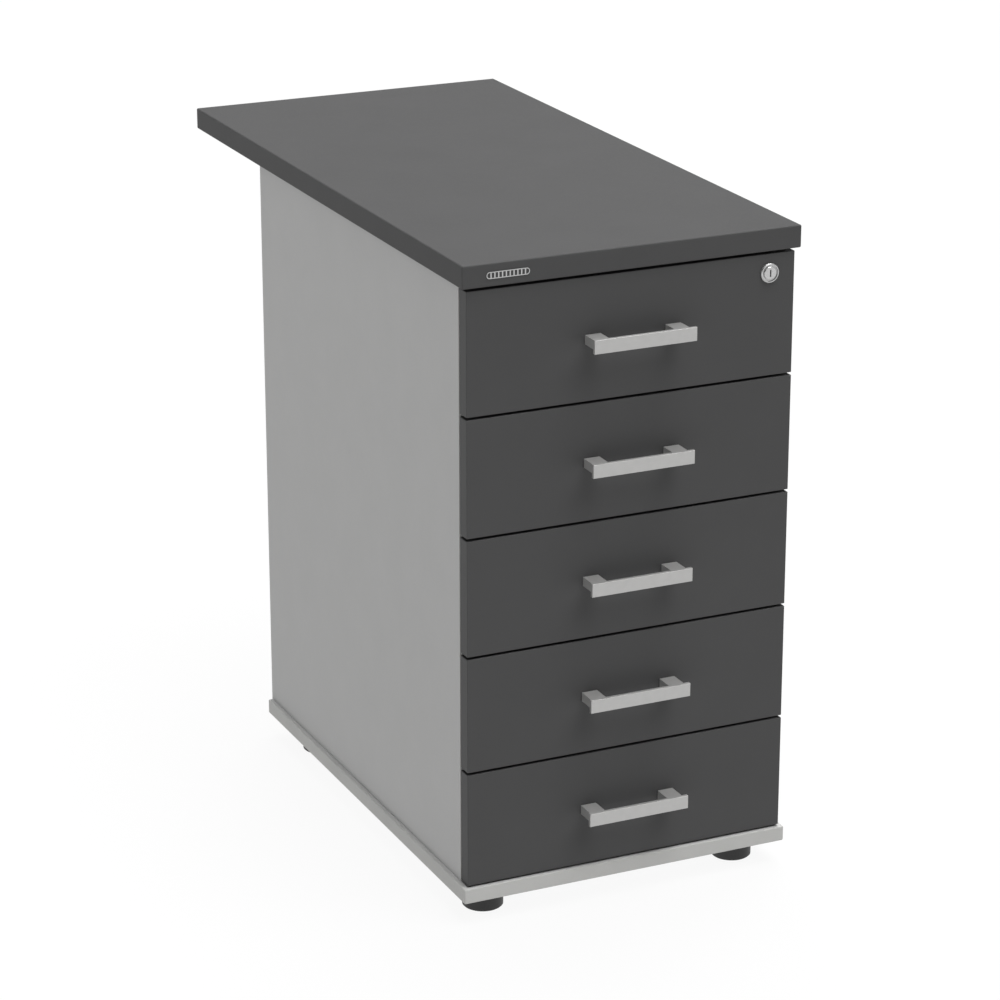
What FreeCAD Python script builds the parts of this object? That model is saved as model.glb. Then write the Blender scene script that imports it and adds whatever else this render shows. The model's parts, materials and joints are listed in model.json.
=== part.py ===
import FreeCAD, Part
import os
import re
import Sketcher

# Pedestal cabinet with five drawers and a worktop that runs on behind the carcass.
# Frame: +X to the user's right, +Y to the back, +Z up, origin on the floor under the middle
# of the whole object (handles to the rear edge of the worktop). All sizes are millimetres.

DRAWER_COUNT = 5
DRAWERS = range(1, DRAWER_COUNT + 1)
LEFT = "-1"
RIGHT = "1"
SIDES = {"left": LEFT, "right": RIGHT}
TOLERANCE = 1e-4

# Where fasteners sit, as shares of the length or height of what they join.
BASE_SCREW_SHARES = (0.12, 0.5, 0.88)
WORKTOP_SCREW_SHARE = 0.7
RAIL_DOWEL_SHARES = (0.25, 0.75)
BACK_DOWEL_SHARES = (0.15, 0.5, 0.8)
BOX_DOWEL_SHARES = (0.3, 0.8)
BOX_SCREW_SHARES = (0.6, 0.9)
PLATE_RIB_COUNT = 10

# Driving dimensions, one spreadsheet cell each.
DIMENSIONS = {
    # whole object and worktop
    "total_height": 758,
    "worktop_width": 403,
    "worktop_depth": 800,
    "worktop_thickness": 25.4,
    "worktop_edging": 2,
    "worktop_rounding": 1.8,
    # carcass
    "carcass_width": 391,
    "carcass_setback": 23,
    "carcass_edging": 1,
    "panel_thickness": 19,
    "base_width": 402,
    "base_depth": 600,
    "base_thickness": 18,
    "base_edging": 2,
    "base_rounding": 1.8,
    "back_thickness": 16,
    "rail_board_width": 80,
    "rail_board_thickness": 16,
    "rail_board_setback": 30,
    # feet
    "foot_height": 27,
    "foot_radius": 23.2,
    "foot_rounding": 1.2,
    "foot_gap": 0.5,
    "foot_spread": 158,
    "foot_front": 47,
    "foot_back": 529,
    "stem_radius": 4,
    "stem_length": 16,
    "thread_clearance": 0.08,
    "socket_radius": 7,
    # drawer fronts
    "front_height": 133,
    "front_gap": 3,
    "front_thickness": 18,
    "front_setback": 3.5,
    "front_rounding": 0.8,
    "bottom_reveal": 2,
    "top_reveal": 3.5,
    # drawer boxes
    "box_depth": 505,
    "box_height": 90,
    "box_lift": 10,
    "box_wall": 12,
    "box_floor": 8,
    "box_floor_lift": 10,
    "groove_depth": 5,
    # telescopic runners
    "runner_gap": 12.7,
    "runner_length": 500,
    "runner_setback": 2,
    "runner_lift": 30,
    "runner_sheet": 1.2,
    "outer_half_height": 22.5,
    "middle_half_height": 17.5,
    "inner_half_height": 12.5,
    "outer_lip": 10.5,
    "middle_back": 3,
    "middle_lip": 11.5,
    "inner_lip": 5.5,
    "slot_length": 26,
    "slot_height": 12,
    "slot_corner": 5.5,
    # handles
    "handle_length": 122,
    "handle_bar_height": 15.3,
    "handle_bar_thickness": 4,
    "handle_projection": 31.5,
    "handle_spacing": 96,
    "handle_post_width": 18.3,
    "handle_post_height": 10.3,
    "handle_flare": 6,
    "handle_end_flare": 2.4,
    "handle_edge": 0.5,
    # lock in the top drawer front
    "lock_inset": 30.9,
    "lock_drop": 21.4,
    "rosette_radius": 10.9,
    "rosette_thickness": 2.5,
    "rosette_bevel": 0.6,
    "rosette_rim": 1.5,
    "rosette_groove": 1.7,
    "lock_body_radius": 9,
    "lock_body_reach": 10,
    "plug_radius": 7.4,
    "plug_clearance": 0.06,
    "plug_stand": 0.5,
    "plug_bevel": 0.5,
    "keyway_width": 1.6,
    "keyway_height": 8,
    "keyway_depth": 12,
    "cam_radius": 10.4,
    "cam_gap": 0.5,
    "cam_thickness": 3,
    "cam_pin_radius": 2,
    "cam_pin_length": 13,
    "cam_throw": 8,
    # lock bar in the right side panel
    "bar_setback": 21,
    "bar_width": 11,
    "bar_thickness": 4,
    "bar_depth": 1,
    "bar_lower_end": 23,
    "bar_upper_end": 13,
    "bar_groove_width": 13,
    "bar_groove_depth": 6,
    "catch_width": 10,
    "catch_reach": 9,
    "catch_height": 12,
    "catch_clearance": 2,
    "fork_reach": 10,
    "fork_thickness": 4,
    "fork_wall": 4,
    "fork_slack": 0.6,
    "guide_width": 28,
    "guide_height": 20,
    "guide_thickness": 2,
    "guide_lift": 110,
    # locking stud on the right side of each drawer
    "stud_radius": 4,
    "stud_reach": 9,
    "stud_shank": 10,
    "stud_lift": 75,
    "stud_gap": 0.8,
    # plate on the worktop's front edge: plain ribs cross its sunk field
    "plate_length": 50,
    "plate_height": 7.5,
    "plate_thickness": 0.8,
    "plate_corner": 3.7,
    "plate_margin": 4.5,
    "plate_rim": 0.9,
    "plate_rib": 1.4,
    "plate_sink": 0.3,
    "plate_offset": 149,
    "plate_drop": 13,
    # screws and dowels
    "hole_clearance": 0.1,
    "hole_end": 1,
    "dowel_radius": 4,
    "dowel_length": 30,
    "box_dowel_radius": 3,
    "box_dowel_length": 20,
    "carcass_screw_head": 5,
    "carcass_screw_head_height": 3,
    "carcass_screw_shank": 3.5,
    "carcass_screw_length": 47,
    "worktop_screw_shank": 2.2,
    "worktop_screw_length": 30,
    "handle_screw_shank": 2,
    "handle_screw_head": 4,
    "handle_screw_head_height": 2.4,
    "handle_screw_grip": 9,
    "box_screw_shank": 2,
    "box_screw_head": 3.5,
    "box_screw_head_height": 2,
    "box_screw_length": 30,
    "runner_screw_shank": 1.8,
    "runner_screw_head": 3.2,
    "runner_screw_head_height": 1,
    "runner_screw_length": 10,
    "runner_screw_inset": 60,
}

# Sizes and places that follow from the driving dimensions.
DERIVED = {
    "plate_rib_pitch": f"(plate_length - 2 * plate_margin - plate_rib) / {PLATE_RIB_COUNT - 1}",
    "plate_field_height": "plate_height - 2 * plate_rim",
    "handle_reach": "handle_projection - front_setback",
    "worktop_front": "-(worktop_depth - handle_reach) / 2",
    "worktop_bottom": "total_height - worktop_thickness",
    "base_top": "foot_height + base_thickness",
    "side_height": "worktop_bottom - base_top",
    "carcass_front": "worktop_front + carcass_setback",
    "carcass_back": "worktop_front + base_depth",
    "carcass_depth": "carcass_back - carcass_front",
    "inner_half_width": "carcass_width / 2 - panel_thickness",
    "back_panel_front": "carcass_back - back_thickness",
    "rail_board_bottom": "worktop_bottom - rail_board_thickness",
    "front_rail_start": "carcass_front + rail_board_setback",
    "rear_rail_start": "back_panel_front - rail_board_width",
    "front_face": "worktop_front + front_setback",
    "front_rear": "front_face + front_thickness",
    "front_pitch": "front_height + front_gap",
    "first_front_bottom": "base_top + bottom_reveal",
    "box_half_width": "inner_half_width - runner_gap",
    "box_inner_half_width": "box_half_width - box_wall",
    "box_back_start": "front_rear + box_depth - box_wall",
    "box_floor_top": "box_floor_lift + box_floor",
    "runner_start": "carcass_front + runner_setback",
    "lock_place": "carcass_width / 2 - lock_inset",
    "lock_level": "worktop_bottom - top_reveal - lock_drop",
    "plug_face": "-rosette_thickness - plug_stand",
    "cam_start": "front_thickness + lock_body_reach + cam_gap",
    "pin_rise": "cam_throw * sqrt(0.5)",
    "bar_centre": "carcass_front + bar_setback",
    "bar_face": "inner_half_width + bar_depth",
    "fork_half_height": "cam_pin_radius + fork_slack + fork_wall",
    "stud_centre": "bar_centre + catch_width / 2 + stud_gap + stud_radius",
}

FUNCTIONS = ("sqrt",)

document = FreeCAD.newDocument("pedestal_cabinet")
sheet = document.addObject("Spreadsheet::Sheet", "Dims")
for row, (alias, size) in enumerate(DIMENSIONS.items(), 1):
    sheet.set(f"A{row}", alias)
    sheet.set(f"B{row}", str(size))
    sheet.setAlias(f"B{row}", alias)
document.recompute()

sub_parts = []


# ---------------------------------------------------------------- formulas

def formula(text):
    """The text with every size replaced by its spreadsheet cell."""
    def cell(match):
        word = match.group(0)
        if word in FUNCTIONS:
            return word
        if word in DERIVED:
            return "(" + formula(DERIVED[word]) + ")"
        if word in DIMENSIONS:
            return "Dims." + word
        raise ValueError("unknown size: " + word)
    return re.sub(r"[a-z_]+", cell, text)


def number(text):
    """The present value of a formula."""
    return float(sheet.evalExpression(formula(text)))


def bind(item, formulas):
    for target, text in formulas.items():
        item.setExpression(target, formula(text))


def place(item, at, rotation=None):
    """Bind an object's position to the sheet, with an optional fixed rotation."""
    if rotation is not None:
        item.Placement = FreeCAD.Placement(FreeCAD.Vector(), rotation)
    x, y, z = at
    bind(item, {".Placement.Base.x": x, ".Placement.Base.y": y, ".Placement.Base.z": z})


def keep(item, node):
    """Name an object as a sub-part: it is written to parts/NODE.step."""
    item.Label = node
    sub_parts.append(item)
    return item


# ---------------------------------------------------------------- primitives and booleans

X_AXIS = FreeCAD.Vector(1, 0, 0)
Y_AXIS = FreeCAD.Vector(0, 1, 0)
Z_AXIS = FreeCAD.Vector(0, 0, 1)
POINTING = {
    "+X": FreeCAD.Rotation(Z_AXIS, X_AXIS),
    "-X": FreeCAD.Rotation(Z_AXIS, -X_AXIS),
    "+Y": FreeCAD.Rotation(Z_AXIS, Y_AXIS),
    "-Y": FreeCAD.Rotation(Z_AXIS, -Y_AXIS),
    "+Z": FreeCAD.Rotation(),
}


def block(size, at, name="block"):
    box = document.addObject("Part::Box", name)
    length, width, height = size
    bind(box, {"Length": length, "Width": width, "Height": height})
    place(box, at)
    return box


def rod(radius, length, at, pointing, name="rod"):
    cylinder = document.addObject("Part::Cylinder", name)
    bind(cylinder, {"Radius": radius, "Height": length})
    place(cylinder, at, POINTING[pointing])
    return cylinder


def group(items, name="group"):
    compound = document.addObject("Part::Compound", name)
    compound.Links = items
    return compound


def fuse(items, name="fused"):
    joined = document.addObject("Part::MultiFuse", name)
    joined.Shapes = items
    return joined


def cut(base, tools, name="cut"):
    result = document.addObject("Part::Cut", name)
    result.Base = base
    result.Tool = tools[0] if len(tools) == 1 else group(tools, name + "_tools")
    return result


def screw(at, pointing, head, head_height, shank, length):
    """One screw from the outer face of its head to its tip."""
    return fuse([
        rod(head, head_height, at, pointing, "screw_head"),
        rod(shank, length, at, pointing, "screw_shank")], "screw")


def hole(at, pointing, radius, depth):
    """The cutting tool for a hole that clears a round fastener all round."""
    return rod(f"{radius} + hole_clearance", depth, at, pointing, "hole")


def outward(side):
    """The pointing from the middle of the cabinet to one of its sides."""
    return "-X" if side == LEFT else "+X"


def inward(side):
    return "+X" if side == LEFT else "-X"


# ---------------------------------------------------------------- sketched bodies

def origin_plane(body, role):
    return next(feature for feature in body.Origin.OriginFeatures if feature.Role == role)


def outline(body, role, points):
    """A closed sketch of straight lines whose corners are bound to the sheet."""
    sketch = body.newObject("Sketcher::SketchObject", "outline")
    sketch.AttachmentSupport = (origin_plane(body, role), [""])
    sketch.MapMode = "FlatFace"
    corners = [FreeCAD.Vector(number(across), number(up), 0) for across, up in points]
    for index, corner in enumerate(corners):
        following = corners[(index + 1) % len(corners)]
        sketch.addGeometry(Part.LineSegment(corner, following))
    for index, (across, up) in enumerate(points):
        following = (index + 1) % len(points)
        sketch.addConstraint(Sketcher.Constraint("Coincident", index, 2, following, 1))
        corner = corners[index]
        for kind, text, size in (("DistanceX", across, corner.x), ("DistanceY", up, corner.y)):
            constraint = sketch.addConstraint(Sketcher.Constraint(kind, -1, 1, index, 1, size))
            bind(sketch, {f"Constraints[{constraint}]": text})
    return sketch


def pad(body, role, points, length, midplane=False, backwards=False):
    """Extrude an outline; backwards turns it to the plane's other side."""
    feature = body.newObject("PartDesign::Pad", "pad")
    feature.Profile = outline(body, role, points)
    feature.Midplane = midplane
    feature.Reversed = backwards
    bind(feature, {"Length": length})
    document.recompute()
    return feature


def new_body(at, name="body"):
    body = document.addObject("PartDesign::Body", name)
    place(body, at)
    return body


def turned(role, points, at, name="turned"):
    """Turn an outline about the sketch's vertical axis."""
    body = new_body(at, name)
    sketch = outline(body, role, points)
    feature = body.newObject("PartDesign::Revolution", "turn")
    feature.Profile = sketch
    feature.ReferenceAxis = (sketch, ["V_Axis"])
    feature.Angle = 360
    return body


def round_edges(body, wanted, radius):
    """Fillet the edges of the body's last feature that the test accepts."""
    last = body.Tip
    names = [f"Edge{index}" for index, edge in enumerate(last.Shape.Edges, 1) if wanted(edge)]
    feature = body.newObject("PartDesign::Fillet", "rounding")
    feature.Base = (last, names)
    bind(feature, {"Radius": radius})
    document.recompute()
    return feature


def lies_at(edge, axis, level):
    """True where the whole edge lies in the plane axis = level."""
    box = edge.BoundBox
    low, high = {"x": (box.XMin, box.XMax), "y": (box.YMin, box.YMax), "z": (box.ZMin, box.ZMax)}[axis]
    return abs(low - level) < TOLERANCE and abs(high - level) < TOLERANCE


def every_edge(edge):
    return True


def runs_along_x(edge):
    return edge.BoundBox.XLength > TOLERANCE


def runs_along_y(edge):
    return edge.BoundBox.YLength > TOLERANCE


def upright_at(places, depth):
    """The test for edges along Z at one of the X places and at the Y depth."""
    levels = [number(across) for across in places]

    def wanted(edge):
        return edge.BoundBox.ZLength > TOLERANCE and lies_at(edge, "y", number(depth)) and any(
            lies_at(edge, "x", level) for level in levels)
    return wanted


def level_at(depth, heights):
    """The test for edges along X at the Y depth and at one of the Z heights."""
    levels = [number(height) for height in heights]

    def wanted(edge):
        return edge.BoundBox.XLength > TOLERANCE and lies_at(edge, "y", number(depth)) and any(
            lies_at(edge, "z", level) for level in levels)
    return wanted


def board(size, at, wanted=None, radius=None, name="board"):
    """A rectangular board padded from its plan, with chosen edges rounded."""
    length, width, height = size
    body = new_body(at, name)
    pad(body, "XY_Plane", [("0", "0"), (length, "0"), (length, width), ("0", width)], height)
    if wanted is not None:
        round_edges(body, wanted, radius)
    return body


# ---------------------------------------------------------------- worktop

def strip_frame(width, depth, height, strip, at, rounding, name):
    """Four butt-jointed edging strips round a board, their outer edges rounded."""
    x, y, z = at
    far_y = f"{y} + {depth} - {strip}"
    side_depth = f"{depth} - 2 * {strip}"

    def outside_front(edge):
        return not lies_at(edge, "y", number(strip))

    def outside_back(edge):
        return not lies_at(edge, "y", 0)

    def long_left(edge):
        return lies_at(edge, "x", 0) and runs_along_y(edge)

    def long_right(edge):
        return lies_at(edge, "x", number(strip)) and runs_along_y(edge)

    return group([
        board((width, strip, height), at, outside_front, rounding, name + "_front"),
        board((width, strip, height), (x, far_y, z), outside_back, rounding, name + "_back"),
        board((strip, side_depth, height), (x, f"{y} + {strip}", z), long_left, rounding, name + "_left"),
        board((strip, side_depth, height), (f"{x} + {width} - {strip}", f"{y} + {strip}", z),
              long_right, rounding, name + "_right"),
    ], name)


def make_worktop():
    core = block(
        ("worktop_width - 2 * worktop_edging", "worktop_depth - 2 * worktop_edging", "worktop_thickness"),
        ("-worktop_width / 2 + worktop_edging", "worktop_front + worktop_edging", "worktop_bottom"))
    holes = [
        hole((x, y, "rail_board_bottom"), "+Z", "worktop_screw_shank", "worktop_screw_length + hole_end")
        for x, y in worktop_screw_places()]
    keep(cut(core, holes, "worktop"), "worktop")
    edging = strip_frame(
        "worktop_width", "worktop_depth", "worktop_thickness", "worktop_edging",
        ("-worktop_width / 2", "worktop_front", "worktop_bottom"), "worktop_rounding",
        "worktop_edging_strips")
    keep(edging, "worktop_edging")


def make_badge():
    """A metal plate with round ends, glued to the worktop's front edge: plain ribs cross its sunk field."""
    start = "-plate_offset - plate_length / 2"
    face = "worktop_front - plate_thickness"
    bottom = "total_height - plate_drop - plate_height / 2"
    plate = board(
        ("plate_length", "plate_thickness", "plate_height"), (start, face, bottom),
        runs_along_y, "plate_corner", "plate")
    field = board(
        ("plate_length - 2 * plate_rim", "plate_sink", "plate_field_height"),
        (f"{start} + plate_rim", face, f"{bottom} + plate_rim"),
        runs_along_y, "plate_corner - plate_rim", "field")
    ribs = [
        block(("plate_rib", "plate_sink", "plate_field_height"),
              (f"{start} + plate_margin + {index} * plate_rib_pitch", face, f"{bottom} + plate_rim"),
              "rib")
        for index in range(PLATE_RIB_COUNT)]
    keep(cut(plate, [cut(field, ribs, "field_between_ribs")], "ribbed_plate"), "badge_plate")


# ---------------------------------------------------------------- carcass

def base_screw_places():
    return [
        (f"{side} * (carcass_width - panel_thickness) / 2", f"carcass_front + carcass_depth * {share}")
        for side in SIDES.values() for share in BASE_SCREW_SHARES]


def worktop_screw_places():
    return [
        (f"{side} * inner_half_width * {WORKTOP_SCREW_SHARE}", f"{start} + rail_board_width / 2")
        for side in SIDES.values() for start in ("front_rail_start", "rear_rail_start")]


def side_dowel_places(side):
    """Dowels along X from a side panel into the top rails and the back panel."""
    x = f"{side} * (inner_half_width - dowel_length / 2)"
    rail_level = "rail_board_bottom + rail_board_thickness / 2"
    rails = [
        (x, f"{start} + rail_board_width * {share}", rail_level)
        for start in ("front_rail_start", "rear_rail_start") for share in RAIL_DOWEL_SHARES]
    back = [
        (x, "back_panel_front + back_thickness / 2", f"base_top + side_height * {share}")
        for share in BACK_DOWEL_SHARES]
    return rails + back


def runner_screw_spots():
    """Y places of the two screws that hold each rail."""
    return ["runner_start + runner_screw_inset", "runner_start + runner_length - runner_screw_inset"]


def front_bottom(drawer):
    return f"(first_front_bottom + {DRAWER_COUNT - drawer} * front_pitch)"


def box_bottom(drawer):
    return f"({front_bottom(drawer)} + box_lift)"


def runner_level(drawer):
    return f"({box_bottom(drawer)} + runner_lift)"


def make_side_panel(side_name):
    side = SIDES[side_name]
    outer_corner = "-carcass_width / 2" if side == LEFT else "inner_half_width"
    core = block(
        ("panel_thickness", "carcass_depth - 2 * carcass_edging", "side_height"),
        (outer_corner, "carcass_front + carcass_edging", "base_top"))
    tools = [
        hole((x, y, "foot_height"), "+Z", "carcass_screw_shank", "carcass_screw_length + hole_end")
        for x, y in base_screw_places()]
    tools += [
        hole(at, outward(side), "dowel_radius", "dowel_length + hole_end")
        for at in side_dowel_places(side)]
    tools += [
        hole((f"{side} * inner_half_width", y, runner_level(drawer)), outward(side),
             "runner_screw_shank", "runner_screw_length")
        for drawer in DRAWERS for y in runner_screw_spots()]
    if side == RIGHT:
        tools.append(block(
            ("bar_groove_depth", "bar_groove_width", "side_height"),
            ("inner_half_width", "bar_centre - bar_groove_width / 2", "base_top"), "bar_groove"))
    keep(cut(core, tools, side_name + "_side"), side_name + "_side_panel")


def make_back_panel():
    core = block(
        ("2 * inner_half_width", "back_thickness", "side_height"),
        ("-inner_half_width", "back_panel_front", "base_top"))
    tools = dowel_holes_between_sides()
    keep(cut(core, tools, "back"), "back_panel")


def make_top_rails():
    boards = [
        block(("2 * inner_half_width", "rail_board_width", "rail_board_thickness"),
              ("-inner_half_width", start, "rail_board_bottom"), "rail_board")
        for start in ("front_rail_start", "rear_rail_start")]
    tools = dowel_holes_between_sides()
    tools += [
        hole((x, y, "rail_board_bottom"), "+Z", "worktop_screw_shank", "rail_board_thickness")
        for x, y in worktop_screw_places()]
    keep(cut(group(boards, "rail_boards"), tools, "rails"), "top_rails")


def dowel_holes_between_sides():
    """The dowel holes as the boards between the two side panels have them."""
    return [
        hole(at, outward(side), "dowel_radius", "dowel_length + hole_end")
        for side in SIDES.values() for at in side_dowel_places(side)]


def foot_places():
    return {
        f"{depth_name}_{side_name}": (f"{side} * foot_spread", f"worktop_front + {depth}")
        for depth_name, depth in (("front", "foot_front"), ("rear", "foot_back"))
        for side_name, side in SIDES.items()}


def make_base_panel():
    core = block(
        ("base_width - 2 * base_edging", "base_depth - 2 * base_edging", "base_thickness"),
        ("-base_width / 2 + base_edging", "worktop_front + base_edging", "foot_height"))
    tools = [
        hole((x, y, "foot_height"), "+Z", "carcass_screw_shank", "base_thickness")
        for x, y in base_screw_places()]
    tools += [
        hole((x, y, "foot_height"), "+Z", "carcass_screw_head", "carcass_screw_head_height")
        for x, y in base_screw_places()]
    tools += [
        hole((x, y, "foot_height"), "+Z", "socket_radius", "base_thickness")
        for x, y in foot_places().values()]
    keep(cut(core, tools, "base"), "base_panel")


def make_carcass_edging():
    """Edging round the base panel and on the front and back edges of the side panels."""
    base = strip_frame(
        "base_width", "base_depth", "base_thickness", "base_edging",
        ("-base_width / 2", "worktop_front", "foot_height"), "base_rounding", "base_edging_strips")
    strips = []
    for side in SIDES.values():
        corner = "-carcass_width / 2" if side == LEFT else "inner_half_width"
        for start in ("carcass_front", "carcass_back - carcass_edging"):
            strips.append(block(
                ("panel_thickness", "carcass_edging", "side_height"), (corner, start, "base_top"),
                "side_strip"))
    keep(group([base] + strips, "edging"), "carcass_edging")


def make_carcass_fasteners():
    """Screws up through the base, screws up into the worktop, wooden dowels and runner screws."""
    pieces = [
        screw((x, y, "foot_height"), "+Z", "carcass_screw_head", "carcass_screw_head_height",
              "carcass_screw_shank", "carcass_screw_length")
        for x, y in base_screw_places()]
    pieces += [
        screw((x, y, "rail_board_bottom - box_screw_head_height"), "+Z", "box_screw_head",
              "box_screw_head_height", "worktop_screw_shank", "worktop_screw_length")
        for x, y in worktop_screw_places()]
    for side in SIDES.values():
        pieces += [
            rod("dowel_radius", "dowel_length", at, outward(side), "dowel")
            for at in side_dowel_places(side)]
        pieces += [
            screw((f"{side} * (inner_half_width - runner_sheet - runner_screw_head_height)", y,
                   runner_level(drawer)), outward(side), "runner_screw_head",
                  "runner_screw_head_height", "runner_screw_shank", "runner_screw_length")
            for drawer in DRAWERS for y in runner_screw_spots()]
    keep(group(pieces, "fasteners"), "carcass_fasteners")


# ---------------------------------------------------------------- feet

def make_feet():
    """A round glide with a threaded stem in each corner, and the socket that it screws into."""
    glide_height = "foot_height - foot_gap"
    sockets = []
    for name, (x, y) in foot_places().items():
        foot = turned("XZ_Plane", [
            ("0", "0"),
            ("foot_radius - foot_rounding", "0"),
            ("foot_radius", "foot_rounding"),
            ("foot_radius", glide_height),
            ("stem_radius", glide_height),
            ("stem_radius", f"{glide_height} + stem_length"),
            ("0", f"{glide_height} + stem_length")], (x, y, "0"), "foot")
        keep(foot, f"{name}_foot")
        bore = "stem_radius + thread_clearance"
        sockets.append(turned("XZ_Plane", [
            (bore, "0"),
            ("socket_radius", "0"),
            ("socket_radius", "base_thickness"),
            (bore, "base_thickness")], (x, y, "foot_height"), "socket"))
    keep(group(sockets, "sockets"), "foot_sockets")


# ---------------------------------------------------------------- telescopic runners

def channel(side, back, lip, half_height, sheet_step, drawer, name):
    """A rail of folded sheet. back and lip are distances in from the side panel's inner face."""
    def across(distance):
        return f"{side} * (inner_half_width - ({distance}))"

    inside = f"{back} + {sheet_step}"
    low = f"-{half_height}"
    low_inside = f"-{half_height} + runner_sheet"
    high_inside = f"{half_height} - runner_sheet"
    points = [(back, low), (lip, low), (lip, low_inside), (inside, low_inside),
              (inside, high_inside), (lip, high_inside), (lip, half_height), (back, half_height)]
    body = new_body(("0", "runner_start", runner_level(drawer)), name)
    section = [(across(distance), up) for distance, up in points]
    pad(body, "XZ_Plane", section, "runner_length", backwards=True)
    return body


def outer_rail(side, drawer):
    return channel(
        side, "0", "outer_lip", "outer_half_height", "runner_sheet", drawer, "outer_rail")


def middle_rail(side, drawer):
    return channel(
        side, "middle_back", "middle_lip", "middle_half_height", "runner_sheet", drawer, "middle_rail")


def inner_rail(side, drawer):
    return channel(
        side, "runner_gap", "inner_lip", "inner_half_height", "-runner_sheet", drawer, "inner_rail")


def make_cabinet_rails():
    rails = [outer_rail(side, drawer) for drawer in DRAWERS for side in SIDES.values()]
    tools = [
        hole((f"{side} * (inner_half_width - runner_sheet)", y, runner_level(drawer)),
             outward(side), "runner_screw_shank", "runner_sheet")
        for drawer in DRAWERS for side in SIDES.values() for y in runner_screw_spots()]
    keep(cut(group(rails, "outer_rails"), tools, "outer_rails_drilled"), "cabinet_rails")


# ---------------------------------------------------------------- central lock

def make_lock():
    """The housing pressed into the top drawer's front, and the plug that turns in it.

    The housing's rosette has a groove round the plug, which stands a little proud of it.
    """
    housing = turned("XY_Plane", [
        ("plug_radius + plug_clearance", "-rosette_thickness + rosette_groove"),
        ("rosette_radius - rosette_rim", "-rosette_thickness + rosette_groove"),
        ("rosette_radius - rosette_rim", "-rosette_thickness"),
        ("rosette_radius - rosette_bevel", "-rosette_thickness"),
        ("rosette_radius", "-rosette_thickness + rosette_bevel"),
        ("rosette_radius", "0"),
        ("lock_body_radius", "0"),
        ("lock_body_radius", "front_thickness + lock_body_reach"),
        ("plug_radius + plug_clearance", "front_thickness + lock_body_reach")],
        ("lock_place", "front_face", "lock_level"), "lock_housing")
    keep(housing, "lock_housing")
    barrel = turned("XY_Plane", [
        ("0", "plug_face"),
        ("plug_radius - plug_bevel", "plug_face"),
        ("plug_radius", "plug_face + plug_bevel"),
        ("plug_radius", "cam_start"),
        ("cam_radius", "cam_start"),
        ("cam_radius", "cam_start + cam_thickness"),
        ("0", "cam_start + cam_thickness")],
        ("lock_place", "front_face", "lock_level"), "plug_barrel")
    pin = rod(
        "cam_pin_radius", "cam_pin_length",
        ("lock_place + pin_rise", "front_face + cam_start + cam_thickness", "lock_level + pin_rise"),
        "+Y", "cam_pin")
    keyway = block(
        ("keyway_width", "keyway_depth", "keyway_height"),
        ("lock_place - keyway_width / 2", "front_face + plug_face", "lock_level - keyway_height / 2"),
        "keyway")
    keep(cut(fuse([barrel, pin], "plug_with_pin"), [keyway], "plug"), "lock_plug")


def make_lock_bar():
    """The bar that slides in the side panel's groove, with a fork for the cam pin and five catches."""
    bar = block(
        ("bar_thickness", "bar_width", "side_height - bar_lower_end - bar_upper_end"),
        ("bar_face", "bar_centre - bar_width / 2", "base_top + bar_lower_end"), "bar")
    catches = [
        block(("catch_reach + bar_depth", "catch_width", "catch_height"),
              ("inner_half_width - catch_reach", "bar_centre - catch_width / 2",
               f"{box_bottom(drawer)} + stud_lift + stud_radius + catch_clearance"), "catch")
        for drawer in DRAWERS]
    tip = "inner_half_width - fork_reach"
    web = "inner_half_width"
    slot = "cam_pin_radius + fork_slack"
    fork = new_body(("0", "bar_centre + fork_thickness / 2", "lock_level + pin_rise"), "fork")
    pad(fork, "XZ_Plane", [
        (tip, "-fork_half_height"), ("bar_face", "-fork_half_height"),
        ("bar_face", "fork_half_height"), (tip, "fork_half_height"),
        (tip, slot), (web, slot), (web, f"-({slot})"), (tip, f"-({slot})")], "fork_thickness")
    keep(group([bar, fork] + catches, "lock_bar_pieces"), "lock_bar")


def make_lock_bar_guides():
    """Plates over the groove between the runners, which keep the bar in."""
    guides = [
        block(("guide_thickness", "guide_width", "guide_height"),
              ("inner_half_width - guide_thickness", "bar_centre - guide_width / 2",
               f"{box_bottom(drawer)} + guide_lift"), "guide")
        for drawer in DRAWERS[1:]]
    keep(group(guides, "guides"), "lock_bar_guides")


# ---------------------------------------------------------------- drawers

def front_height_of(drawer):
    if drawer == 1:
        return f"(worktop_bottom - top_reveal - {front_bottom(drawer)})"
    return "front_height"


def handle_level(drawer):
    return f"({front_bottom(drawer)} + {front_height_of(drawer)} / 2)"


def box_dowel_places(drawer):
    return [
        (f"{side} * (box_half_width - box_wall / 2)", "front_rear - box_dowel_length / 2",
         f"{box_bottom(drawer)} + box_height * {share}")
        for side in SIDES.values() for share in BOX_DOWEL_SHARES]


def box_screw_places(side, drawer):
    return [
        (f"{side} * box_half_width", "box_back_start + box_wall / 2",
         f"{box_bottom(drawer)} + box_height * {share}")
        for share in BOX_SCREW_SHARES]


def make_front(drawer):
    height = front_height_of(drawer)
    blank = board(
        ("carcass_width", "front_thickness", height),
        ("-carcass_width / 2", "front_face", front_bottom(drawer)), every_edge, "front_rounding", "front")
    tools = [
        hole((f"{side} * handle_spacing / 2", "front_face", handle_level(drawer)), "+Y",
             "handle_screw_shank", "front_thickness")
        for side in SIDES.values()]
    tools += [
        hole(at, "+Y", "box_dowel_radius", "box_dowel_length") for at in box_dowel_places(drawer)]
    if drawer == 1:
        tools.append(hole(
            ("lock_place", "front_face", "lock_level"), "+Y", "lock_body_radius", "front_thickness"))
    keep(cut(blank, tools, "front_drilled"), f"drawer_{drawer}_front")


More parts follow.
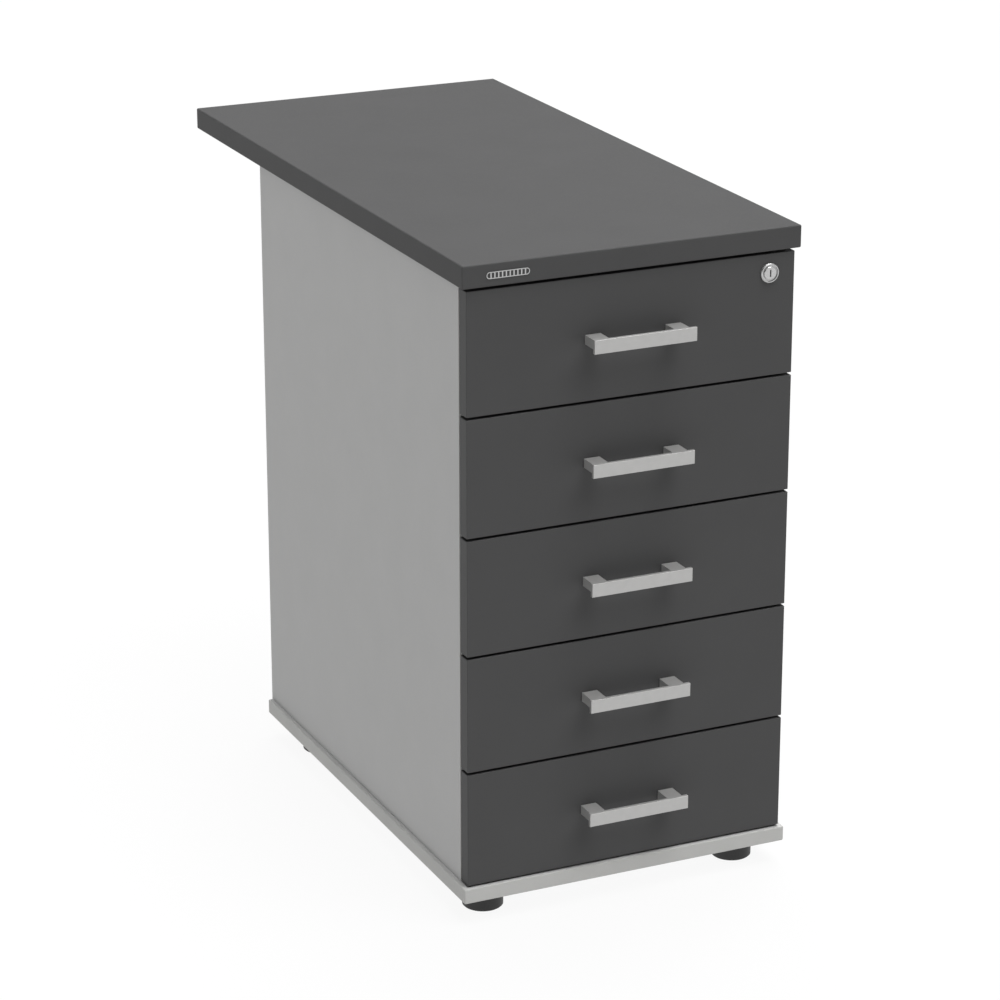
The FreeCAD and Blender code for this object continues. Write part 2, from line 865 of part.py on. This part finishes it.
def floor_block(drawer, name):
    """The drawer's bottom as far as it goes into the grooves of the side boards."""
    return block(
        ("2 * (box_inner_half_width + groove_depth)", "box_depth", "box_floor"),
        ("-box_inner_half_width - groove_depth", "front_rear",
         f"{box_bottom(drawer)} + box_floor_lift"), name)


def make_side_boards(drawer):
    low = box_bottom(drawer)
    boards = []
    tools = [floor_block(drawer, "floor_groove")]
    tools += [
        hole(at, "+Y", "box_dowel_radius", "box_dowel_length + hole_end")
        for at in box_dowel_places(drawer)]
    for side in SIDES.values():
        corner = "-box_half_width" if side == LEFT else "box_inner_half_width"
        boards.append(block(
            ("box_wall", "box_depth", "box_height"), (corner, "front_rear", low), "side_board"))
        for at in box_screw_places(side, drawer):
            tools.append(hole(at, inward(side), "box_screw_shank", "box_wall"))
            tools.append(hole(at, inward(side), "box_screw_head", "box_screw_head_height"))
        tools += [
            hole((f"{side} * box_half_width", y, runner_level(drawer)), inward(side),
                 "runner_screw_shank", "runner_screw_length")
            for y in runner_screw_spots()]
    tools.append(hole(
        ("box_half_width", "stud_centre", f"{low} + stud_lift"), "-X",
        "box_screw_shank", "stud_shank + hole_end"))
    keep(cut(group(boards, "side_boards"), tools, "side_boards_cut"), f"drawer_{drawer}_side_boards")


def make_back_board(drawer):
    low = f"{box_bottom(drawer)} + box_floor_top"
    core = block(
        ("2 * box_inner_half_width", "box_wall", "box_height - box_floor_top"),
        ("-box_inner_half_width", "box_back_start", low))
    tools = [
        hole(at, inward(side), "box_screw_shank", "box_screw_length + hole_end")
        for side in SIDES.values() for at in box_screw_places(side, drawer)]
    keep(cut(core, tools, "back_board_drilled"), f"drawer_{drawer}_back_board")


def make_bottom_board(drawer):
    keep(floor_block(drawer, "bottom"), f"drawer_{drawer}_bottom_board")


def make_handle(drawer):
    """A flat bar on two posts that flare into it: what the plan and the side view have in common."""
    half = "(handle_length / 2)"
    outside = "((handle_spacing + handle_post_width) / 2)"
    inside = "((handle_spacing - handle_post_width) / 2)"
    half_bar = "(handle_bar_height / 2)"
    half_post = "(handle_post_height / 2)"
    tip = "-handle_projection"
    rear = "-handle_projection + handle_bar_thickness"
    at = ("0", "front_face", handle_level(drawer))

    plan = new_body(at, "handle_plan")
    pad(plan, "XY_Plane", [
        (f"-{half}", tip), (half, tip), (half, rear), (outside, rear), (outside, "0"), (inside, "0"),
        (inside, rear), (f"-{inside}", rear), (f"-{inside}", "0"), (f"-{outside}", "0"),
        (f"-{outside}", rear), (f"-{half}", rear)], "handle_bar_height", midplane=True)
    round_edges(plan, upright_at([inside, f"-{inside}"], rear), "handle_flare")
    round_edges(plan, upright_at([outside, f"-{outside}"], rear), "handle_end_flare")
    round_edges(plan, upright_at([half, f"-{half}"], tip), "handle_edge")

    profile = new_body(at, "handle_profile")
    pad(profile, "YZ_Plane", [
        (tip, f"-{half_bar}"), (rear, f"-{half_bar}"), (rear, f"-{half_post}"), ("0", f"-{half_post}"),
        ("0", half_post), (rear, half_post), (rear, half_bar), (tip, half_bar)],
        "handle_length", midplane=True)
    round_edges(profile, level_at(rear, [half_post, f"-{half_post}"]), "handle_end_flare")
    round_edges(profile, level_at(tip, [half_bar, f"-{half_bar}"]), "handle_edge")

    shape = document.addObject("Part::Common", "handle_shape")
    shape.Base = plan
    shape.Tool = profile
    holes = [
        hole((f"{side} * handle_spacing / 2", "front_face", handle_level(drawer)), "-Y",
             "handle_screw_shank", "handle_screw_grip + hole_end")
        for side in SIDES.values()]
    keep(cut(shape, holes, "handle"), f"drawer_{drawer}_handle")


def make_drawer_fasteners(drawer):
    """Handle screws, dowels into the front, screws into the back and runner screws."""
    pieces = [
        screw((f"{side} * handle_spacing / 2", "front_rear + handle_screw_head_height",
               handle_level(drawer)),
              "-Y", "handle_screw_head", "handle_screw_head_height", "handle_screw_shank",
              "handle_screw_head_height + front_thickness + handle_screw_grip")
        for side in SIDES.values()]
    pieces += [
        rod("box_dowel_radius", "box_dowel_length", at, "+Y", "box_dowel")
        for at in box_dowel_places(drawer)]
    for side in SIDES.values():
        pieces += [
            screw(at, inward(side), "box_screw_head", "box_screw_head_height",
                  "box_screw_shank", "box_screw_length")
            for at in box_screw_places(side, drawer)]
        pieces += [
            screw((f"{side} * (box_half_width + runner_sheet + runner_screw_head_height)", y,
                   runner_level(drawer)), inward(side), "runner_screw_head",
                  "runner_screw_head_height", "runner_screw_shank", "runner_screw_length")
            for y in runner_screw_spots()]
    keep(group(pieces, "drawer_fasteners"), f"drawer_{drawer}_fasteners")


def stud(drawer):
    """The locking stud on the right side board, just behind the lock bar's catch."""
    at = ("box_half_width", "stud_centre", f"{box_bottom(drawer)} + stud_lift")
    return fuse([
        rod("stud_radius", "stud_reach", at, "+X", "stud_head"),
        rod("box_screw_shank", "stud_shank", at, "-X", "stud_shank")], "stud")


def rail_slots(drawer):
    """Round-ended slots across both middle rails: through them the cabinet rails' screws are reached."""
    spots = runner_screw_spots() + ["runner_start + runner_length / 2"]
    return [
        board(("2 * inner_half_width", "slot_length", "slot_height"),
              ("-inner_half_width", f"{y} - slot_length / 2", f"{runner_level(drawer)} - slot_height / 2"),
              runs_along_x, "slot_corner", "slot")
        for y in spots]


def make_drawer_rails(drawer):
    """The rails that the drawer carries, with the stud that the lock bar holds, and the middle rails."""
    rails = [inner_rail(side, drawer) for side in SIDES.values()]
    tools = [
        hole((f"{side} * (box_half_width + runner_sheet)", y, runner_level(drawer)), inward(side),
             "runner_screw_shank", "runner_sheet")
        for side in SIDES.values() for y in runner_screw_spots()]
    drilled = cut(group(rails, "inner_rails"), tools, "inner_rails_drilled")
    keep(group([drilled, stud(drawer)], "rails_and_stud"), f"drawer_{drawer}_rails")
    middles = [middle_rail(side, drawer) for side in SIDES.values()]
    keep(cut(group(middles, "middle_rails"), rail_slots(drawer), "middle_rails_slotted"),
         f"drawer_{drawer}_middle_rails")


def make_drawer(drawer):
    make_front(drawer)
    make_side_boards(drawer)
    make_back_board(drawer)
    make_bottom_board(drawer)
    make_handle(drawer)
    make_drawer_fasteners(drawer)
    make_drawer_rails(drawer)


# ---------------------------------------------------------------- build, test and write

def test_document():
    """Stop if any object failed to compute or any sub-part has no valid shape."""
    failed = [item.Label for item in document.Objects if {"Invalid", "Error"} & set(item.State)]
    empty = [item.Label for item in sub_parts if item.Shape.isNull() or not item.Shape.isValid()]
    if failed or empty:
        raise RuntimeError(f"failed objects: {failed}; sub-parts with no valid shape: {empty}")


def write_parts():
    os.makedirs("parts", exist_ok=True)
    for item in sub_parts:
        item.Shape.exportStep(f"parts/{item.Label}.step")
        print(f"{item.Label}: {len(item.Shape.Solids)} solids, {item.Shape.Volume / 1000:.1f} cm3")


make_worktop()
make_badge()
for side_name in SIDES:
    make_side_panel(side_name)
make_back_panel()
make_base_panel()
make_top_rails()
make_carcass_edging()
make_carcass_fasteners()
make_feet()
make_cabinet_rails()
make_lock()
make_lock_bar()
make_lock_bar_guides()
for drawer_number in DRAWERS:
    make_drawer(drawer_number)
document.recompute()
test_document()
write_parts()
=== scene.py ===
import json
import math

import bmesh
import bpy
from mathutils import Matrix, Vector


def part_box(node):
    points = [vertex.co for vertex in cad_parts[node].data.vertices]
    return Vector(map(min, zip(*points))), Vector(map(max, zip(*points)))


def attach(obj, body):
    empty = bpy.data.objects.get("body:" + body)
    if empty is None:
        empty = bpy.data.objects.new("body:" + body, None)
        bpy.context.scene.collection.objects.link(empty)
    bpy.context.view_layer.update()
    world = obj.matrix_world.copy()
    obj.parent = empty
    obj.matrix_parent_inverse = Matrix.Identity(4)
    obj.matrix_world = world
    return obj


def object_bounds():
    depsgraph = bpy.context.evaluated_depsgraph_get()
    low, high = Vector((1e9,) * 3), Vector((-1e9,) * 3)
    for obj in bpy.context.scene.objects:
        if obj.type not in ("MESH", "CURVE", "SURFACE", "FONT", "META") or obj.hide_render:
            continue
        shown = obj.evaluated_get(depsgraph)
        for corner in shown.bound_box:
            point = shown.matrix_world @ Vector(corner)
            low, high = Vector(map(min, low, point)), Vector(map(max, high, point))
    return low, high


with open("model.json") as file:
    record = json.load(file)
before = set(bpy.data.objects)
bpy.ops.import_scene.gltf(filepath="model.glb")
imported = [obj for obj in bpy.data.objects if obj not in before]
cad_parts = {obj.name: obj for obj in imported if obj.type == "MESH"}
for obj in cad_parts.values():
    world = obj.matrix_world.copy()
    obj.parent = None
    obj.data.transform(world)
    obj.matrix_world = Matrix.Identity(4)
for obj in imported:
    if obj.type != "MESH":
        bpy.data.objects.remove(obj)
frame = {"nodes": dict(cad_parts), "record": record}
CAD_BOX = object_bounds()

# Looks for the drawer pedestal cabinet: materials for the CAD pieces, the runners' ball cages,
# a pale studio and the camera. Metres, in the CAD model's frame.

MM = 0.001
DRAWERS = range(1, 6)
SIDES = (-1, 1)

# Camera: seen from the front left and a little above, through a long lens.
CAMERA_AZIMUTH = -24.76
CAMERA_ELEVATION = 19.45
CAMERA_DISTANCE = 4.1186
CAMERA_LENS_MM = 124.57
SENSOR_MM = 36.0
AIM_FROM_CENTRE = (0.0123, -0.0163, -0.0272)

# Light: the studio's brightness at each height of the sky dome, from the horizon to the zenith,
# and soft lamps, each with its azimuth, elevation and strength.
DOME = ((0.0, 1.0), (0.13, 1.0), (0.17, 0.0), (0.6, 0.0), (0.7, 0.66))
LAMPS = {
    "overhead_lamp": (58, 82.5, 1.7),
    "rear_lamp": (150, 60, 2.15),
    "front_lamp": (30, 60, 1.2),
}
LAMP_SPREAD_DEG = 40

# Base colours, linear.
DARK_GREY = (0.071, 0.071, 0.0715)
DARK_EDGE_GREY = (0.0745, 0.0745, 0.075)
LIGHT_GREY = (0.45, 0.45, 0.447)
DRAWER_GREY = (0.24, 0.24, 0.238)
LIGHT_EDGE_GREY = (0.47, 0.47, 0.458)
NICKEL = (0.475, 0.472, 0.465)
CHROME = (0.52, 0.52, 0.52)
PLATE_METAL = (0.50, 0.50, 0.50)
ENAMEL = (0.05, 0.05, 0.05)
ZINC = (0.62, 0.63, 0.65)
ALUMINIUM = (0.72, 0.72, 0.73)
BLACK = (0.014, 0.014, 0.014)
PLASTIC_GREY = (0.28, 0.28, 0.28)
FLOOR_PAINT = (0.05, 0.05, 0.05)

# How brightly the floor is lit from within, how far it runs each way, and how far the small
# plate's field is sunk.
FLOOR_GLOW = 0.92
FLOOR_HALF_WIDTH = 30.0
PLATE_SINK = 0.3 * MM

# Ball cages of the runners: thin strips that hold the balls in the gaps between the rails' lips.
# A span is where a strip starts and ends, measured in from the side panel's inner face. An end is
# how far a strip runs on past its last ball.
RAIL_SHEET = 1.2 * MM
RAIL_GAP = 3.8 * MM
BALL_RADIUS = 1.75 * MM
BALL_PITCH = 22 * MM
BALLS_IN_ROW = 9
CAGE_SHEET = 0.8 * MM
CAGE_LIP = 1.8 * MM
CAGE_END = 8 * MM
CAGE_BEVEL = 0.15 * MM
OUTER_CAGE_SPAN = (1.8 * MM, 9.6 * MM)
INNER_CAGE_SPAN = (4.8 * MM, 11.0 * MM)

# Stretches that draw noise out into lines along an axis.
ALONG_X = (0.02, 1.0, 1.0)
ALONG_Y = (1.0, 0.03, 1.0)
ALONG_Z = (1.0, 1.0, 0.02)
ALONG_X_AND_Y = (0.02, 0.02, 1.0)

# Noise: how many finer layers it has, how strong they are, and the range that most of it is in.
LITTLE_DETAIL = 2.0
SOME_DETAIL = 3.0
MUCH_DETAIL = 4.0
EVEN_NOISE = 0.5
CRISP_NOISE = 0.6
SCRATCHY_NOISE = 0.65
NOISE_RANGE = (0.3, 0.7)

# Gloss of the matt boards and of their edging, well under a plain plastic's.
BOARD_SPECULAR = 0.08
EDGING_SPECULAR = 0.03


# ---------------------------------------------------------------- shader building

class Shader:
    """A material under construction: one Principled shader with nodes feeding it."""

    def __init__(self, name, colour, roughness, metallic=0.0):
        self.material = bpy.data.materials.new(name)
        self.material.use_nodes = True
        self.tree = self.material.node_tree
        self.surface = self.tree.nodes["Principled BSDF"]
        self.colour = colour
        self.roughness = roughness
        self.set("Base Color", (*colour, 1.0))
        self.set("Roughness", roughness)
        self.set("Metallic", metallic)

    def set(self, socket, value):
        self.surface.inputs[socket].default_value = value

    def feed(self, socket, value):
        """Link a node's output into a socket, or store a plain value there."""
        if isinstance(value, bpy.types.NodeSocket):
            self.tree.links.new(value, socket)
        else:
            socket.default_value = value

    def node(self, kind, **inputs):
        """Add a node and feed the sockets that are named, with _ for a space."""
        made = self.tree.nodes.new(kind)
        for name, value in inputs.items():
            self.feed(made.inputs[name.replace("_", " ")], value)
        return made

    def maths(self, kind, operation, first, second=None):
        """The result of a maths or vector maths node."""
        made = self.node(kind)
        made.operation = operation
        self.feed(made.inputs[0], first)
        if second is not None:
            self.feed(made.inputs[1], second)
        return next(socket for socket in made.outputs if socket.enabled)

    def place(self, stretch=(1.0, 1.0, 1.0)):
        """Where a point is on the object, in metres, stretched along the axes."""
        coordinates = self.node("ShaderNodeTexCoord")
        mapping = self.node("ShaderNodeMapping", Vector=coordinates.outputs["Object"], Scale=stretch)
        return mapping.outputs["Vector"]

    def noise(self, place, cell, detail=SOME_DETAIL, roughness=EVEN_NOISE):
        """Soft noise whose features are about one cell (in metres) across."""
        made = self.node(
            "ShaderNodeTexNoise", Vector=place, Scale=1.0 / cell, Detail=detail, Roughness=roughness)
        return made.outputs["Fac"]

    def rings(self, radius, cell):
        """Noise that changes only with the distance from an axis."""
        made = self.node("ShaderNodeTexNoise", Scale=1.0 / cell, Detail=SOME_DETAIL)
        made.noise_dimensions = "1D"
        self.feed(made.inputs["W"], radius)
        return made.outputs["Fac"]

    def cells(self, place, cell):
        """Distance to the nearest of many points about one cell apart."""
        made = self.node("ShaderNodeTexVoronoi", Vector=place, Scale=1.0 / cell)
        return made.outputs["Distance"]

    def spread(self, value, low, high):
        """Map the middle of a noise's range onto the range from low to high."""
        made = self.node(
            "ShaderNodeMapRange", Value=value, From_Min=NOISE_RANGE[0], From_Max=NOISE_RANGE[1],
            To_Min=low, To_Max=high)
        return made.outputs["Result"]

    def blend(self, first, second, share):
        """A blend of two values, share of it from the second."""
        made = self.node("ShaderNodeMix", Factor=share, A=first, B=second)
        return made.outputs["Result"]

    def vary_colour(self, value, amount):
        """Lighten and darken the base colour a little with a noise value."""
        made = self.node("ShaderNodeVectorMath")
        made.operation = "SCALE"
        made.inputs["Vector"].default_value = self.colour
        self.feed(made.inputs["Scale"], self.spread(value, 1.0 - amount, 1.0 + amount))
        self.feed(self.surface.inputs["Base Color"], made.outputs["Vector"])

    def blend_colour(self, other, share):
        """Mix the colour made so far with another one, by a 0 to 1 share."""
        colour = self.surface.inputs["Base Color"]
        before = colour.links[0].from_socket
        made = self.node("ShaderNodeMix")
        made.data_type = "RGBA"
        sockets = {socket.identifier: socket for socket in (*made.inputs, *made.outputs)}
        self.feed(sockets["Factor_Float"], share)
        self.feed(sockets["A_Color"], before)
        sockets["B_Color"].default_value = (*other, 1.0)
        self.feed(colour, sockets["Result_Color"])

    def vary_roughness(self, value, less, more):
        """Vary the roughness with a noise value, from less below to more above its base."""
        varied = self.spread(value, self.roughness - less, self.roughness + more)
        self.feed(self.surface.inputs["Roughness"], varied)

    def relief(self, height, depth, strength):
        """Bump from a 0 to 1 height, depth in metres."""
        made = self.node("ShaderNodeBump", Height=height, Distance=depth, Strength=strength)
        self.feed(self.surface.inputs["Normal"], made.outputs["Normal"])


# ---------------------------------------------------------------- materials

def melamine(name, colour, roughness):
    """Melamine-faced board: a pearl relief of sub-millimetre bumps with faint mottling."""
    shader = Shader(name, colour, roughness)
    shader.set("Specular IOR Level", BOARD_SPECULAR)
    place = shader.place()
    bumps = shader.noise(place, cell=0.9 * MM, detail=LITTLE_DETAIL)
    pearl = shader.blend(bumps, shader.cells(place, cell=0.6 * MM), share=0.35)
    cloud = shader.noise(place, cell=60 * MM, detail=MUCH_DETAIL, roughness=CRISP_NOISE)
    speck = shader.noise(place, cell=1.4 * MM, detail=LITTLE_DETAIL)
    shader.vary_colour(shader.blend(cloud, speck, share=0.45), amount=0.035)
    shader.vary_roughness(shader.blend(cloud, speck, share=0.5), less=0.05, more=0.05)
    shader.relief(pearl, depth=0.05 * MM, strength=0.55)
    return shader.material


def edging(name, colour, roughness):
    """Extruded plastic edging: smoother than the board, with faint lines along its length."""
    shader = Shader(name, colour, roughness)
    shader.set("Specular IOR Level", EDGING_SPECULAR)
    place = shader.place()
    fine = shader.noise(place, cell=0.7 * MM, detail=LITTLE_DETAIL)
    lines = shader.noise(shader.place(ALONG_X_AND_Y), cell=1.1 * MM)
    shader.vary_colour(shader.noise(place, cell=45 * MM), amount=0.03)
    shader.vary_roughness(fine, less=0.04, more=0.05)
    shader.relief(shader.blend(fine, lines, share=0.6), depth=0.03 * MM, strength=0.5)
    return shader.material


def brush(shader, stretch):
    """Fine parallel scratches along the axis that stretch makes long."""
    place = shader.place(stretch)
    scratches = shader.noise(place, cell=0.35 * MM, detail=MUCH_DETAIL, roughness=SCRATCHY_NOISE)
    cloud = shader.noise(shader.place(), cell=9 * MM)
    shader.vary_colour(shader.blend(cloud, scratches, share=0.6), amount=0.06)
    shader.vary_roughness(scratches, less=0.07, more=0.09)
    shader.relief(scratches, depth=0.02 * MM, strength=0.6)


def brushed_metal(name, colour, roughness, metallic, stretch):
    shader = Shader(name, colour, roughness, metallic)
    brush(shader, stretch)
    return shader.material


def enamelled_plate(name, roughness, metallic):
    """The small plate: brushed metal with dark enamel in its sunk field."""
    shader = Shader(name, PLATE_METAL, roughness, metallic)
    brush(shader, ALONG_X)
    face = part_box("badge_plate")[0].y
    depth = shader.node("ShaderNodeSeparateXYZ", Vector=shader.place()).outputs["Y"]
    sunk = shader.maths("ShaderNodeMath", "GREATER_THAN", depth, face + PLATE_SINK / 2)
    shader.blend_colour(ENAMEL, sunk)
    return shader.material


def turned_metal(name, colour, roughness, metallic, centre):
    """Metal turned on a lathe about an axis along Y: rings round the centre."""
    shader = Shader(name, colour, roughness, metallic)
    shift = shader.maths("ShaderNodeVectorMath", "SUBTRACT", shader.place(), centre)
    flat = shader.maths("ShaderNodeVectorMath", "MULTIPLY", shift, (1.0, 0.0, 1.0))
    radius = shader.maths("ShaderNodeVectorMath", "LENGTH", flat)
    rings = shader.rings(radius, cell=0.3 * MM)
    shader.vary_colour(rings, amount=0.05)
    shader.vary_roughness(rings, less=0.06, more=0.08)
    shader.relief(rings, depth=0.02 * MM, strength=0.6)
    return shader.material


def moulded_plastic(name, colour, roughness):
    """Moulded plastic with a fine spark-eroded grain."""
    shader = Shader(name, colour, roughness)
    place = shader.place()
    bumps = shader.noise(place, cell=0.35 * MM, detail=LITTLE_DETAIL)
    grain = shader.blend(shader.cells(place, cell=0.5 * MM), bumps, share=0.5)
    shader.vary_colour(shader.noise(place, cell=7 * MM), amount=0.08)
    shader.vary_roughness(grain, less=0.06, more=0.08)
    shader.relief(grain, depth=0.05 * MM, strength=0.7)
    return shader.material


def zinc_plate(name, roughness):
    """Bright zinc on rolled steel: soft spangle over fine rolling lines along the depth."""
    shader = Shader(name, ZINC, roughness, metallic=1.0)
    spangle = shader.noise(shader.place(), cell=4 * MM, detail=MUCH_DETAIL, roughness=CRISP_NOISE)
    rolled = shader.noise(shader.place(ALONG_Y), cell=0.5 * MM)
    shader.vary_colour(shader.blend(spangle, rolled, share=0.4), amount=0.07)
    shader.vary_roughness(shader.blend(spangle, rolled, share=0.5), less=0.08, more=0.08)
    shader.relief(rolled, depth=0.015 * MM, strength=0.5)
    return shader.material


def polished_steel(name, roughness):
    """Polished bearing steel with a faint bloom."""
    shader = Shader(name, ZINC, roughness, metallic=1.0)
    bloom = shader.noise(shader.place(), cell=0.8 * MM)
    shader.vary_colour(bloom, amount=0.03)
    shader.vary_roughness(bloom, less=0.05, more=0.07)
    return shader.material


def studio_floor(name):
    """Pale floor, lit from within so that shadows on it stay faint."""
    shader = Shader(name, FLOOR_PAINT, roughness=0.9)
    shader.set("Specular IOR Level", 0.0)
    shader.set("Emission Color", (1.0, 1.0, 1.0, 1.0))
    shader.set("Emission Strength", FLOOR_GLOW)
    shader.vary_colour(shader.noise(shader.place(), cell=300 * MM), amount=0.005)
    return shader.material


def make_materials():
    """Every material of the object, by the name of its record slot or of what it is for."""
    low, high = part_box("lock_housing")
    looks = {
        "dark_melamine": (melamine, dict(colour=DARK_GREY, roughness=0.46)),
        "dark_edging": (edging, dict(colour=DARK_EDGE_GREY, roughness=0.42)),
        "light_melamine": (melamine, dict(colour=LIGHT_GREY, roughness=0.5)),
        "drawer_melamine": (melamine, dict(colour=DRAWER_GREY, roughness=0.45)),
        "light_edging": (edging, dict(colour=LIGHT_EDGE_GREY, roughness=0.45)),
        "satin_nickel": (
            brushed_metal, dict(colour=NICKEL, roughness=0.45, metallic=0.5, stretch=ALONG_X)),
        "lock_chrome": (
            turned_metal, dict(colour=CHROME, roughness=0.28, metallic=0.7, centre=(low + high) / 2)),
        "zinc_steel": (zinc_plate, dict(roughness=0.34)),
        "plain_plate": (enamelled_plate, dict(roughness=0.34, metallic=0.6)),
        "lock_bar_aluminium": (
            brushed_metal, dict(colour=ALUMINIUM, roughness=0.38, metallic=1.0, stretch=ALONG_Z)),
        "ball_steel": (polished_steel, dict(roughness=0.16)),
        "black_plastic": (moulded_plastic, dict(colour=BLACK, roughness=0.5)),
        "grey_plastic": (moulded_plastic, dict(colour=PLASTIC_GREY, roughness=0.5)),
    }
    return {name: make(name, **look) for name, (make, look) in looks.items()}


def dress_cad_nodes(materials):
    """Give every CAD node the material that its record slot names."""
    slots = {part["node"]: part["material_slot"] for part in frame["record"]["subparts"]}
    for node, piece in frame["nodes"].items():
        piece.data.materials.clear()
        piece.data.materials.append(materials[slots[node]])


# ---------------------------------------------------------------- ball cages

def add_strip(shape, outline, front, rear):
    """Add a closed strip to a mesh under construction: an outline of X, Z points swept along Y."""
    front_ring, rear_ring = [
        [shape.verts.new((x, y, z)) for x, z in outline] for y in (front, rear)]
    shape.faces.new(front_ring)
    shape.faces.new(rear_ring)
    for corner in range(len(outline)):
        shape.faces.new((
            front_ring[corner - 1], front_ring[corner], rear_ring[corner], rear_ring[corner - 1]))


def cage_rows(drawer):
    """The rows of balls beside one drawer, each as (level, up, near, far, first, last).

    up is -1 for a row under the rail's middle line, near and far are the strip's edges in X, and
    first and last are where the row's end balls are in Y. The outer rows are in the rear half of
    the middle rails and the inner rows in the front half, so both stay between their rails over
    the whole travel.
    """
    panel_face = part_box("cabinet_rails")[1].x
    low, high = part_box(f"drawer_{drawer}_middle_rails")
    centre, lip = (low + high) / 2, (high.z - low.z) / 2
    reach = (BALLS_IN_ROW - 1) * BALL_PITCH + CAGE_END
    kinds = (
        (lip + RAIL_GAP / 2, OUTER_CAGE_SPAN, centre.y + CAGE_END),
        (lip - RAIL_SHEET - RAIL_GAP / 2, INNER_CAGE_SPAN, centre.y - reach))
    return [
        (centre.z + up * level, up, side * (panel_face - span[0]), side * (panel_face - span[1]),
         start, start + (BALLS_IN_ROW - 1) * BALL_PITCH)
        for side in SIDES for up in SIDES for level, span, start in kinds]


def cage_shape(drawer):
    """Strips of folded sheet, each with a short lip along its edge by the panel."""
    shape = bmesh.new()
    for level, up, near, far, first, last in cage_rows(drawer):
        face, back = level - up * CAGE_SHEET / 2, level + up * CAGE_SHEET / 2
        lip_face, lip_end = near + math.copysign(CAGE_SHEET, far - near), back - up * CAGE_LIP
        outline = [(near, back), (near, lip_end), (lip_face, lip_end),
                   (lip_face, face), (far, face), (far, back)]
        add_strip(shape, outline, first - CAGE_END, last + CAGE_END)
    bmesh.ops.recalc_face_normals(shape, faces=shape.faces)
    bmesh.ops.bevel(shape, geom=shape.edges, offset=CAGE_BEVEL, segments=2, affect="EDGES")
    return shape


def ball_shape(drawer):
    """The balls, each a whole number of pitches along its row."""
    shape = bmesh.new()
    for level, up, near, far, first, last in cage_rows(drawer):
        for index in range(BALLS_IN_ROW):
            centre = Vector(((near + far) / 2, first + index * BALL_PITCH, level))
            bmesh.ops.create_icosphere(
                shape, subdivisions=2, radius=BALL_RADIUS, matrix=Matrix.Translation(centre))
    for face in shape.faces:
        face.smooth = True
    return shape


def add_piece(name, shape, body, material):
    """Turn a finished mesh into a piece that rides on a body."""
    mesh = bpy.data.meshes.new(name)
    shape.to_mesh(mesh)
    shape.free()
    mesh.materials.append(material)
    piece = bpy.data.objects.new(name, mesh)
    bpy.context.scene.collection.objects.link(piece)
    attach(piece, body)


def make_ball_cages(materials):
    for drawer in DRAWERS:
        body = f"drawer_{drawer}_middle"
        add_piece(f"drawer_{drawer}_ball_cages", cage_shape(drawer), body,
                  materials["zinc_steel"])
        add_piece(f"drawer_{drawer}_balls", ball_shape(drawer), body,
                  materials["ball_steel"])


# ---------------------------------------------------------------- studio and camera

def direction(azimuth_deg, elevation_deg):
    """The unit vector from the object towards a viewer or lamp. Azimuth 0 is straight in front."""
    azimuth, elevation = math.radians(azimuth_deg), math.radians(elevation_deg)
    return Vector((
        math.sin(azimuth) * math.cos(elevation),
        -math.cos(azimuth) * math.cos(elevation),
        math.sin(elevation)))


def point_at(thing, back):
    """Turn a camera or lamp to look along -back."""
    thing.rotation_mode = "QUATERNION"
    thing.rotation_quaternion = (-back).to_track_quat("-Z", "Y")


def make_camera():
    low, high = CAD_BOX
    aim = (Vector(low) + Vector(high)) / 2 + Vector(AIM_FROM_CENTRE)
    back = direction(CAMERA_AZIMUTH, CAMERA_ELEVATION)
    data = bpy.data.cameras.new("camera")
    data.sensor_width = SENSOR_MM
    data.lens = CAMERA_LENS_MM
    camera = bpy.data.objects.new("camera", data)
    camera.location = aim + back * CAMERA_DISTANCE
    point_at(camera, back)
    bpy.context.scene.collection.objects.link(camera)
    bpy.context.scene.camera = camera


def make_dome():
    """The studio round the object: how bright it is depends on the height only."""
    world = bpy.data.worlds.new("studio")
    world.use_nodes = True
    tree = world.node_tree
    coordinates = tree.nodes.new("ShaderNodeTexCoord")
    height = tree.nodes.new("ShaderNodeSeparateXYZ")
    brightness = tree.nodes.new("ShaderNodeValToRGB")
    stops = brightness.color_ramp.elements
    while len(stops) < len(DOME):
        stops.new(1.0)
    for stop, (level, value) in zip(stops, DOME):
        stop.position = level
        stop.color = (value, value, value, 1.0)
    tree.links.new(coordinates.outputs["Generated"], height.inputs["Vector"])
    tree.links.new(height.outputs["Z"], brightness.inputs["Fac"])
    tree.links.new(brightness.outputs["Color"], tree.nodes["Background"].inputs["Color"])
    bpy.context.scene.world = world


def make_lamps():
    for name, (azimuth, elevation, strength) in LAMPS.items():
        data = bpy.data.lights.new(name, "SUN")
        data.energy = strength
        data.angle = math.radians(LAMP_SPREAD_DEG)
        lamp = bpy.data.objects.new(name, data)
        point_at(lamp, direction(azimuth, elevation))
        bpy.context.scene.collection.objects.link(lamp)


def make_floor():
    mesh = bpy.data.meshes.new("floor")
    shape = bmesh.new()
    bmesh.ops.create_grid(shape, x_segments=1, y_segments=1, size=FLOOR_HALF_WIDTH)
    shape.to_mesh(mesh)
    shape.free()
    mesh.materials.append(studio_floor("floor_paint"))
    floor = bpy.data.objects.new("floor", mesh)
    floor.location.z = CAD_BOX[0][2]
    bpy.context.scene.collection.objects.link(floor)


make_camera()
make_dome()
make_lamps()
make_floor()
materials = make_materials()
dress_cad_nodes(materials)
make_ball_cages(materials)
bpy.context.scene.view_settings.view_transform = "Standard"
